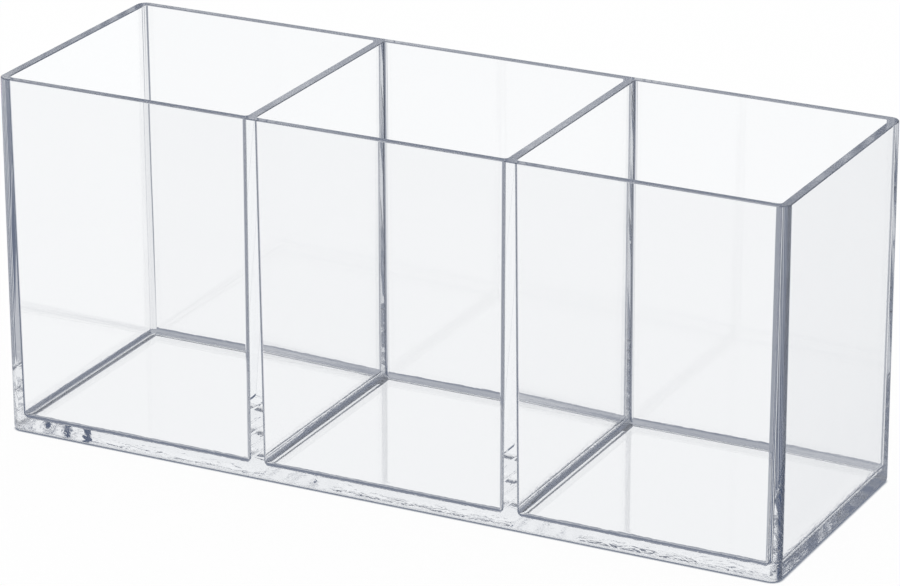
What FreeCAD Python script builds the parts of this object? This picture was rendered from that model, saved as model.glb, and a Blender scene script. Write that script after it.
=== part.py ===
import FreeCAD, Part
import math
import os

# A pen holder with three compartments in a row: one clear moulding, open at the top.
# Millimetres. +X runs along the row, +Y to the back, +Z up.
# The origin is the middle of the underside.

# Overall size
length = 228.6              # outside, along the row of compartments
depth = 76.2                # outside, front to back
height = 101.6              # underside to rim
compartment_count = 3

# Thicknesses. The walls are given at the rim, where they are thinnest.
end_wall = 2.6
long_wall = 2.2
divider = 2.6
floor_thickness = 3.3

# The compartments narrow towards the floor, so that the moulding slides off its cores.
core_draft_deg = 0.4

# Radii
outer_corner_radius = 3.0   # the four upright outside corners, about one wall more than inside
foot_radius = 1.2           # outside edge all round the underside
inner_corner_radius = 1.0   # the upright corners of a compartment
floor_edge_radius = 2.0     # all round a compartment's floor
rim_radius = 0.3            # both edges of every wall's top

# How far the tool that cuts a compartment stands above the rim
cutter_overrun = 2.0
tolerance = 1e-4


def edges_at(shape, z):
    """The edges of a shape that lie flat at one height."""
    return [e for e in shape.Edges
            if abs(e.BoundBox.ZMin - z) < tolerance and abs(e.BoundBox.ZMax - z) < tolerance]


def outside_block():
    """The whole outside: upright faces, round corners and a round edge at the foot."""
    block = Part.makeBox(length, depth, height, FreeCAD.Vector(-length / 2, -depth / 2, 0))
    upright = [e for e in block.Edges if e.BoundBox.ZLength > height - tolerance]
    block = block.makeFillet(outer_corner_radius, upright)
    return block.makeFillet(foot_radius, edges_at(block, 0))


def compartment_size():
    """Length and depth of a compartment's mouth, in the plane of the rim."""
    walls = 2 * end_wall + (compartment_count - 1) * divider
    return (length - walls) / compartment_count, depth - 2 * long_wall


def compartment_centres():
    """X of each compartment's middle. They are equal, one divider apart."""
    mouth_x, _ = compartment_size()
    pitch = mouth_x + divider
    first = -pitch * (compartment_count - 1) / 2
    return [first + index * pitch for index in range(compartment_count)]


def core(centre_x):
    """The space inside one compartment: it widens towards the rim.

    Its floor edges are rounder than its upright corners, so each pair of floor edges is rounded
    on a block of its own, right to the ends. The three blocks share a space with mitred corners.
    """
    mouth_x, mouth_y = compartment_size()
    lean = math.tan(math.radians(core_draft_deg))
    top = height + cutter_overrun
    floor_x, floor_y = (mouth - 2 * lean * (height - floor_thickness) for mouth in (mouth_x, mouth_y))
    top_x, top_y = (mouth + 2 * lean * cutter_overrun for mouth in (mouth_x, mouth_y))
    block = Part.makeWedge(-floor_x / 2, floor_thickness, -floor_y / 2, -top_y / 2, -top_x / 2,
                           floor_x / 2, top, floor_y / 2, top_y / 2, top_x / 2)
    block.rotate(FreeCAD.Vector(0, 0, 0), FreeCAD.Vector(1, 0, 0), 90)
    floor_edges = edges_at(block, floor_thickness)
    along_x = [e for e in floor_edges if e.BoundBox.XLength > e.BoundBox.YLength]
    along_y = [e for e in floor_edges if e.BoundBox.YLength > e.BoundBox.XLength]
    upright = [e for e in block.Edges if e.BoundBox.ZLength > tolerance]
    space = block.makeFillet(inner_corner_radius, upright)
    for pair in (along_x, along_y):
        space = space.common(block.makeFillet(floor_edge_radius, pair))
    return space.translated(FreeCAD.Vector(centre_x, 0, 0))


def compartment_box():
    """The moulding: the outside less its compartments, with both rim edges eased."""
    body = outside_block()
    for centre_x in compartment_centres():
        body = body.cut(core(centre_x))
    eased = min(rim_radius, 0.4 * min(end_wall, long_wall, divider))
    return body.makeFillet(eased, edges_at(body, height))


def main():
    os.makedirs("parts", exist_ok=True)
    box = compartment_box()
    print("compartment_box", "valid", box.isValid(), "solids", len(box.Solids),
          "volume", round(box.Volume, 1))
    box.exportStep("parts/compartment_box.step")


main()
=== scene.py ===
import math

import bmesh
import bpy
from mathutils import Matrix, Vector


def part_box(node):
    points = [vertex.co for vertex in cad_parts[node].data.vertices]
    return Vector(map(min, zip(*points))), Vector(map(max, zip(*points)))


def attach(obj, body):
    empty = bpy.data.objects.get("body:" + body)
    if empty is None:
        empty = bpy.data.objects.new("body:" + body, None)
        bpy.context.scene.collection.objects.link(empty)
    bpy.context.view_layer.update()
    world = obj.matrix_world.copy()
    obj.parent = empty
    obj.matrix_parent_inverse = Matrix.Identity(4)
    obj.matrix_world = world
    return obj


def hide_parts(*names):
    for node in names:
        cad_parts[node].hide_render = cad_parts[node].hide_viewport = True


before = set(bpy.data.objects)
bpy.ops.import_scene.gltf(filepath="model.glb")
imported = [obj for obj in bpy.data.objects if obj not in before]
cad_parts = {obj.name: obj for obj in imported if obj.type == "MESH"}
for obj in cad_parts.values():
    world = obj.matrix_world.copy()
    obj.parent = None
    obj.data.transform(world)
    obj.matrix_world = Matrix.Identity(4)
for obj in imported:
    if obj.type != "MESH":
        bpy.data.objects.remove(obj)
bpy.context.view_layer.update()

# The holder's own sizes, in metres. The outside comes from the frame.
MM = 0.001
low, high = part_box("compartment_box")
length, depth, height = (high[axis] - low[axis] for axis in range(3))
compartment_count = 3
end_wall = 2.6 * MM             # thicknesses at the rim
long_wall = 2.2 * MM
divider = 2.6 * MM
floor_thickness = 3.3 * MM
core_draft = math.radians(0.4)  # lean of each compartment face
outer_corner_radius = 3.0 * MM
foot_radius = 1.2 * MM
inner_corner_radius = 1.0 * MM  # the upright corners of a compartment
floor_edge_radius = 2.0 * MM    # all round a compartment's floor
rim_radius = 0.3 * MM
mitre_radius = 0.05 * MM        # what is left of a compartment's upright corner at its floor

corner_steps = 12               # faces round each upright corner
edge_steps = 8                  # faces across each rounded edge
weld_distance = 0.001 * MM
flat_face_weight = 100          # how strongly the large flat faces keep their shading flat

# Clear polystyrene
polystyrene_ior = 1.57
tint_colour = "#c4d0e2"
tint_density = 0.8              # faint: it shows only in paths as long as a wall is
wear_patch = 6 * MM             # size of the patches that wear leaves
wear_noise = (0.3, 0.7)         # the stretch of the noise that goes from least to most wear
wear_share = (0.5, 1.0)         # least and most wear
rim_satin = 0.3                 # roughness of the worn top
rim_wear_rise = (height - 0.4 * MM, height - 0.1 * MM)
foot_satin = 0.45               # roughness of the worn foot
foot_wear_rise = (0.5 * MM, 0.9 * MM)
underside_rise = 0.01 * MM      # the underside itself stays polished
wave_size = 14 * MM             # the waves that the flow of the melt leaves in every face
wave_stretch = (1.0, 1.0, 1.8)
streak_size = 1.5 * MM          # the streaks low on the sides, where the melt turned into the walls
streak_stretch = (4.0, 4.0, 1.0)
streak_strength = 14.0          # against the waves
streak_rise = (3 * MM, 9 * MM)  # the streaks fade out over this height
upright_tilt = 0.2              # a face whose normal rises less than this is a side
wave_depth = 0.02 * MM
wave_strength = 0.25

# The table
table_half = 3.0
table_drop = 0.02 * MM          # below the foot, so that no two faces share a plane
table_colour = "#f6f6f7"
table_white = 0.96              # how much of the table the lens sees as plain white; the rest is lit
painted_shadow_colour = "#6f7889"        # painted contact shadow: the thin dark line where the foot meets the table
shade_reach = 0.9 * MM
shade_openness = (0.25, 0.9)    # full painted shade where the table is this closed in, none where this open
shade_samples = 8

# White paper round the holder: azimuth and elevation of the view that looks straight at it, how far from its
# middle it starts to fade and ends, in degrees, and how bright it is. These views were chosen.
# From most others the card shows through and the clear plastic looks smoked.
paper_behind = (                # the photograph's view, and the same as the ends and dividers mirror it
    (27, 21, 6.5, 8.5, 1.0),
    (-24.5, 21, 5.6, 6.8, 1.0),
)
paper_mirrored = (-27, 21, 10, 24, 1.0)
paper_elsewhere = (             # for five other views, and no more
    (46, 25, 8, 10, 0.9),
    (225, 15, 8, 14, 0.9),
    (90, 3, 8, 14, 0.9),
    (0, 3, 8, 14, 0.9),
    (0, 90, 15, 30, 0.9),
)
card_colour = "#3a4a68"         # the dark card that fills the rest
paper_colour = "#fdfeff"

# The larger parts of the studio, from 0 for card to 1 for paper, matched to the photograph's brightness. Each
# fades over a pair of values, where north or up is the part of a direction that points to the back or up,
# from -1 to 1.
back_wall_level = 0.92          # behind the holder
back_wall_north = (0.2, 0.6)
back_wall_up = (-0.3, -0.2)
ceiling_level = 0.62
ceiling_up = (0.5, 0.7)
front_level = 0.65              # the room in front, which shows only in mirrored light
front_north = (-0.55, -0.35)
front_up = (-0.7, -0.5)
front_middle_share = 0.2        # it is dim level with the holder
front_middle_up = (0.06, 0.2)
horizon_level = 0.25            # a dim ring all round
horizon_top = (0.1, 0.2)
horizon_foot = (-0.65, -0.5)
steep_level = 0.4               # straight down
steep_up = (-0.7, -0.45)
low_share = 0.965               # what shows low down is a little dimmer
low_up = (-0.45, -0.35)

# Shares taken off by how a ray went through the plastic. They are matched to the photograph and are not
# what real plastic takes.
twice_mirrored_loss = 0.5       # of the paper that shows mirrored
mirrored_loss = 0.6             # of what stands elsewhere
gloss_loss = 0.6                # of what the outer faces mirror
many_mirrorings = 9.5
trapped_loss = 0.8              # of light that ran long inside the floor and came out upwards


def linear(hex_colour):
    """An sRGB hex colour as the linear values that shaders use."""
    channels = [int(hex_colour[start:start + 2], 16) / 255 for start in (1, 3, 5)]
    return tuple(c / 12.92 if c <= 0.04045 else ((c + 0.055) / 1.055) ** 2.4 for c in channels)


def ring(mesh, centre_x, half_x, half_y, radius, z):
    """One level outline: a rectangle with round corners, as a loop of points."""
    points = []
    corners = ((1, 1), (-1, 1), (-1, -1), (1, -1))
    for quarter, (side_x, side_y) in enumerate(corners):
        for step in range(corner_steps + 1):
            angle = (quarter + step / corner_steps) * math.pi / 2
            x = centre_x + side_x * (half_x - radius) + radius * math.cos(angle)
            y = side_y * (half_y - radius) + radius * math.sin(angle)
            points.append(mesh.verts.new((x, y, z)))
    return points


def skin(mesh, rings):
    """Faces from each ring to the next."""
    for lower, upper in zip(rings, rings[1:]):
        for index in range(len(lower)):
            after = (index + 1) % len(lower)
            mesh.faces.new((lower[index], lower[after], upper[after], upper[index]))


def quarter_round(radius):
    """Steps round a quarter circle, as (distance in from the side, distance from the end)."""
    turns = [step / edge_steps * math.pi / 2 for step in range(edge_steps + 1)]
    return [(radius * (1 - math.sin(turn)), radius * (1 - math.cos(turn))) for turn in turns]


def outside_rings(mesh):
    """The outside from the underside up to the rim."""
    levels = [(inset, rise) for inset, rise in quarter_round(foot_radius)]
    levels += [(inset, height - drop) for inset, drop in reversed(quarter_round(rim_radius))]
    return [ring(mesh, 0, length / 2 - inset, depth / 2 - inset, outer_corner_radius - inset, z)
            for inset, z in levels]


def compartment_rings(mesh, centre_x, half_x, half_y):
    """One compartment from its rim down to its floor."""
    lean = math.tan(core_draft)
    levels = [(-inset, drop) for inset, drop in quarter_round(rim_radius)]
    deepest = height - floor_thickness
    levels += [(inset, deepest - rise) for inset, rise in reversed(quarter_round(floor_edge_radius))]
    return [ring(mesh, centre_x, half_x - inset - lean * drop, half_y - inset - lean * drop,
                 max(inner_corner_radius - inset, mitre_radius), height - drop)
            for inset, drop in levels]


def rim_face(mesh, outside, mouths):
    """The level top of all the walls, between the outside and the compartments."""
    edges = []
    for loop in [outside] + mouths:
        for index in range(len(loop)):
            edges.append(mesh.edges.get((loop[index - 1], loop[index])))
    bmesh.ops.triangle_fill(mesh, use_beauty=True, use_dissolve=False, edges=edges)


def moulded_box():
    """The whole moulding as one closed skin, with every edge rounded."""
    mesh = bmesh.new()
    outside = outside_rings(mesh)
    skin(mesh, outside)
    mesh.faces.new(reversed(outside[0]))
    mouth_x = (length - 2 * end_wall - (compartment_count - 1) * divider) / compartment_count
    pitch = mouth_x + divider
    mouths = []
    for index in range(compartment_count):
        centre_x = pitch * (index - (compartment_count - 1) / 2)
        rings = compartment_rings(mesh, centre_x, mouth_x / 2, depth / 2 - long_wall)
        skin(mesh, rings)
        mesh.faces.new(rings[-1])
        mouths.append(rings[0])
    rim_face(mesh, outside[-1], mouths)
    bmesh.ops.remove_doubles(mesh, verts=mesh.verts, dist=weld_distance)
    bmesh.ops.recalc_face_normals(mesh, faces=mesh.faces)
    for face in mesh.faces:
        face.smooth = True
    data = bpy.data.meshes.new("compartment_box_moulded")
    mesh.to_mesh(data)
    mesh.free()
    box = bpy.data.objects.new("compartment_box_moulded", data)
    bpy.context.collection.objects.link(box)
    flat_faces_stay_flat = box.modifiers.new("flat_faces_stay_flat", "WEIGHTED_NORMAL")
    flat_faces_stay_flat.weight = flat_face_weight
    return box


def empty_tree(owner):
    """The node tree of a material or a world, with nothing in it."""
    owner.use_nodes = True
    owner.node_tree.nodes.clear()
    return owner.node_tree


def add(tree, kind, settings=None, links=None):
    """Adds a node, sets its properties and sockets, and joins its inputs to other nodes' outputs."""
    node = tree.nodes.new(kind)
    for name, value in (settings or {}).items():
        if name in node.inputs:
            node.inputs[name].default_value = value
        else:
            setattr(node, name, value)
    for name, output in (links or {}).items():
        tree.links.new(output, node.inputs[name])
    return node


def join(tree, operation, *values):
    """One step of arithmetic on outputs and numbers."""
    step = add(tree, "ShaderNodeMath", {"operation": operation})
    for socket, value in zip(step.inputs, values):
        if isinstance(value, (int, float)):
            socket.default_value = value
        else:
            tree.links.new(value, socket)
    return step.outputs[0]


def mix(tree, share, first, second):
    """A blend of two shaders."""
    blend = add(tree, "ShaderNodeMixShader", links={0: share})
    tree.links.new(first.outputs[0], blend.inputs[1])
    tree.links.new(second.outputs[0], blend.inputs[2])
    return blend


def ramp(tree, value, span, at_start, at_end):
    """A smooth change from one number to another while the value goes over a span."""
    change = add(tree, "ShaderNodeMapRange", {
        "interpolation_type": "SMOOTHSTEP",
        "From Min": span[0],
        "From Max": span[1],
        "To Min": at_start,
        "To Max": at_end,
    }, {"Value": value})
    return change.outputs["Result"]


def brightest(tree, levels):
    """The highest of several levels."""
    highest = levels[0]
    for level in levels[1:]:
        highest = join(tree, "MAXIMUM", highest, level)
    return highest


def dimmed(tree, level, where, loss):
    """A level that loses a share of itself where something is 1."""
    return join(tree, "MULTIPLY", level, join(tree, "MULTIPLY_ADD", where, -loss, 1.0))


def pattern(tree, place, size, detail, spread=0.0, stretch=(1, 1, 1)):
    """Soft noise with blotches of about one size, given in metres, bent by a spread and stretched along the
    axes."""
    scaled = add(tree, "ShaderNodeMapping", {"Scale": tuple(1 / (size * axis) for axis in stretch)},
                 {"Vector": place})
    noise = add(tree, "ShaderNodeTexNoise", {"Scale": 1.0, "Detail": detail, "Distortion": spread},
                {"Vector": scaled.outputs["Vector"]})
    return noise.outputs["Fac"]


def worn_satin(tree, place, rise):
    """Roughness of the rim and the foot, patchy from hands and from sliding on tables. The rest is
    polished."""
    patches = ramp(tree, pattern(tree, place, wear_patch, detail=3.0), wear_noise, *wear_share)
    rim_wear = ramp(tree, rise, rim_wear_rise, 0, rim_satin)
    foot_wear = join(tree, "MULTIPLY", ramp(tree, rise, foot_wear_rise, foot_satin, 0),
                     join(tree, "GREATER_THAN", rise, underside_rise))
    return join(tree, "MULTIPLY", join(tree, "MAXIMUM", rim_wear, foot_wear), patches)


def flow_marks(tree, place, rise):
    """Long shallow waves in every face, and stronger streaks along the foot of the sides."""
    waves = pattern(tree, place, wave_size, detail=1.0, spread=0.4, stretch=wave_stretch)
    facing = add(tree, "ShaderNodeNewGeometry").outputs["Normal"]
    facing_up = add(tree, "ShaderNodeSeparateXYZ", links={"Vector": facing}).outputs["Z"]
    sides = join(tree, "LESS_THAN", join(tree, "ABSOLUTE", facing_up), upright_tilt)
    low_sides = join(tree, "MULTIPLY", ramp(tree, rise, streak_rise, streak_strength, 0), sides)
    streaks = pattern(tree, place, streak_size, detail=2.0, spread=1.2, stretch=streak_stretch)
    marks = join(tree, "ADD", waves, join(tree, "MULTIPLY", streaks, low_sides))
    flow = add(tree, "ShaderNodeBump", {"Strength": wave_strength, "Distance": wave_depth},
               {"Height": marks})
    return flow.outputs["Normal"]


def clear_polystyrene():
    """Clear polystyrene moulded against polished steel: glass-like, and cold in tint where one looks along a
    wall. The melt's flow bends what shows through it a little, and the rim and foot are worn to a faint
    satin."""
    material = bpy.data.materials.new("clear_polystyrene_moulded")
    tree = empty_tree(material)
    place = add(tree, "ShaderNodeTexCoord").outputs["Object"]
    rise = add(tree, "ShaderNodeSeparateXYZ", links={"Vector": place}).outputs["Z"]
    surface = add(tree, "ShaderNodeBsdfPrincipled", {
        "Base Color": (1, 1, 1, 1),
        "IOR": polystyrene_ior,
        "Transmission Weight": 1.0,
    }, {"Roughness": worn_satin(tree, place, rise), "Normal": flow_marks(tree, place, rise)})
    tint = add(tree, "ShaderNodeVolumeAbsorption", {
        "Color": (*linear(tint_colour), 1),
        "Density": tint_density,
    })
    add(tree, "ShaderNodeOutputMaterial", links={
        "Surface": surface.outputs["BSDF"],
        "Volume": tint.outputs["Volume"],
    })
    return material


def through_plastic(tree, path):
    """1 for a ray that follows gloss or clear plastic on its way from the lens, 0 for any other."""
    followed = join(tree, "MAXIMUM", path.outputs["Is Glossy Ray"], path.outputs["Is Transmission Ray"])
    return join(tree, "MULTIPLY", followed, join(tree, "LESS_THAN", path.outputs["Diffuse Depth"], 0.5))


def white_table():
    """Smooth white board: plain and matt, with the holder's faint shadow and a painted contact shadow, a thin
    dark line round its foot. Seen through the plastic it is left out, so that the studio's paper shows there."""
    material = bpy.data.materials.new("white_table")
    tree = empty_tree(material)
    path = add(tree, "ShaderNodeLightPath")
    lit = add(tree, "ShaderNodeBsdfDiffuse", {"Color": (*linear(table_colour), 1)})
    # Painted contact shadow: a dark emission mixed in where the foot closes the table in
    contact = add(tree, "ShaderNodeAmbientOcclusion", {"Distance": shade_reach, "samples": shade_samples})
    shade = add(tree, "ShaderNodeEmission", {"Color": (*linear(painted_shadow_colour), 1)})
    white = add(tree, "ShaderNodeEmission", {"Color": (1, 1, 1, 1)})
    shaded = mix(tree, ramp(tree, contact.outputs["AO"], shade_openness, 0, 1), shade, white)
    shown = mix(tree, join(tree, "MULTIPLY", path.outputs["Is Camera Ray"], table_white), lit, shaded)
    left_out = add(tree, "ShaderNodeBsdfTransparent")
    surface = mix(tree, through_plastic(tree, path), shown, left_out)
    add(tree, "ShaderNodeOutputMaterial", links={"Surface": surface.outputs[0]})
    return material


def table():
    """The floor that the holder stands on."""
    corners = [(side_x * table_half, side_y * table_half, 0)
               for side_x, side_y in ((-1, -1), (1, -1), (1, 1), (-1, 1))]
    data = bpy.data.meshes.new("table")
    data.from_pydata(corners, [], [(0, 1, 2, 3)])
    data.materials.append(white_table())
    floor = bpy.data.objects.new("table", data)
    bpy.context.collection.objects.link(floor)
    floor.location.z = -table_drop


def paper(tree, heading, azimuth, elevation, inner, outer, level):
    """A sheet of white paper in one direction, fading out between two angles from its middle."""
    turn, rise = math.radians(azimuth), math.radians(elevation)
    towards = (-math.sin(turn) * math.cos(rise), math.cos(turn) * math.cos(rise), -math.sin(rise))
    closeness = add(tree, "ShaderNodeVectorMath", {"operation": "DOT_PRODUCT"}, {0: heading})
    closeness.inputs[1].default_value = towards
    fade = (math.cos(math.radians(outer)), math.cos(math.radians(inner)))
    return ramp(tree, closeness.outputs["Value"], fade, 0, level)


def shown_level(tree, path):
    """What the clear plastic sees in each direction, from 0 for dark card to 1 for white paper."""
    heading = add(tree, "ShaderNodeTexCoord").outputs["Generated"]
    parts = add(tree, "ShaderNodeSeparateXYZ", links={"Vector": heading})
    north, up = parts.outputs["Y"], parts.outputs["Z"]
    mirrorings = path.outputs["Glossy Depth"]
    mirrored = join(tree, "GREATER_THAN", mirrorings, 0.5)
    mirrored_twice = join(tree, "GREATER_THAN", mirrorings, 1.5)

    sheets = [paper(tree, heading, *sheet) for sheet in paper_behind]
    wide_sheet = dimmed(tree, paper(tree, heading, *paper_mirrored), mirrored_twice, twice_mirrored_loss)
    back_wall = join(tree, "MULTIPLY", ramp(tree, north, back_wall_north, 0, back_wall_level),
                     ramp(tree, up, back_wall_up, 0, 1))
    ceiling = ramp(tree, up, ceiling_up, 0, ceiling_level)
    room = join(tree, "MULTIPLY", ramp(tree, north, front_north, front_level, 0),
                ramp(tree, up, front_up, 0, 1))
    off_middle = ramp(tree, join(tree, "ABSOLUTE", up), front_middle_up, front_middle_share, 1)
    front = join(tree, "MULTIPLY", join(tree, "MULTIPLY", room, off_middle), mirrored)
    behind = brightest(tree, sheets + [wide_sheet, back_wall, ceiling, front])

    horizon = join(tree, "MULTIPLY", ramp(tree, up, horizon_top, horizon_level, 0),
                   ramp(tree, up, horizon_foot, 0, 1))
    steep = ramp(tree, up, steep_up, steep_level, 0)
    other_sheets = [paper(tree, heading, *sheet) for sheet in paper_elsewhere]
    elsewhere = brightest(tree, other_sheets + [horizon, steep])
    level = brightest(tree, [behind, dimmed(tree, elsewhere, mirrored, mirrored_loss)])

    level = dimmed(tree, level, path.outputs["Is Reflection Ray"], gloss_loss)
    level = join(tree, "MULTIPLY", level, ramp(tree, up, low_up, low_share, 1.0))
    trapped = join(tree, "MULTIPLY", join(tree, "GREATER_THAN", mirrorings, many_mirrorings),
                   join(tree, "GREATER_THAN", up, 0.0))
    return dimmed(tree, level, trapped, trapped_loss)


def studio():
    """Soft light from all round. From the listed views the clear plastic shows white paper where one looks
    straight through it, with dark card between the sheets, which draws the edges."""
    world = bpy.data.worlds.new("studio")
    bpy.context.scene.world = world
    tree = empty_tree(world)
    path = add(tree, "ShaderNodeLightPath")
    card = add(tree, "ShaderNodeBackground", {"Color": (*linear(card_colour), 1)})
    sheet = add(tree, "ShaderNodeBackground", {"Color": (*linear(paper_colour), 1)})
    white = add(tree, "ShaderNodeBackground", {"Color": (1, 1, 1, 1)})
    shown = mix(tree, shown_level(tree, path), card, sheet)
    background = mix(tree, through_plastic(tree, path), white, shown)
    add(tree, "ShaderNodeOutputWorld", links={"Surface": background.outputs[0]})


def photographs_camera():
    """A long lens from the front right, a little above the rim. Its place is solved from the straight edges
    of the rim, the corners and the foot in the photograph."""
    azimuth, elevation, roll = (math.radians(angle) for angle in (27.05, 20.96, -0.18))
    distance = 1.2214
    right_offset, up_offset = 1.65 * MM, -3.91 * MM
    back = Vector((math.sin(azimuth) * math.cos(elevation), -math.cos(azimuth) * math.cos(elevation),
                   math.sin(elevation)))
    right = Matrix.Rotation(roll, 3, back) @ Vector((math.cos(azimuth), math.sin(azimuth), 0))
    up = back.cross(right)
    camera = bpy.data.objects.new("camera", bpy.data.cameras.new("camera"))
    bpy.context.collection.objects.link(camera)
    camera.data.lens = 183.12
    camera.data.sensor_width = 36
    camera.data.clip_start = 0.05
    place = Vector((0, 0, height / 2)) + back * distance + right * right_offset + up * up_offset
    axes = Matrix((right, up, back)).transposed().to_4x4()
    camera.matrix_world = Matrix.Translation(place) @ axes
    bpy.context.scene.camera = camera


box = moulded_box()
box.data.materials.append(clear_polystyrene())
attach(box, "root")
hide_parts("compartment_box")
table()
studio()
photographs_camera()

bounces = 64                    # light may run the whole length of a wall
scene = bpy.context.scene
scene.view_settings.view_transform = "Standard"
scene.cycles.max_bounces = bounces
scene.cycles.transmission_bounces = bounces
scene.cycles.glossy_bounces = bounces
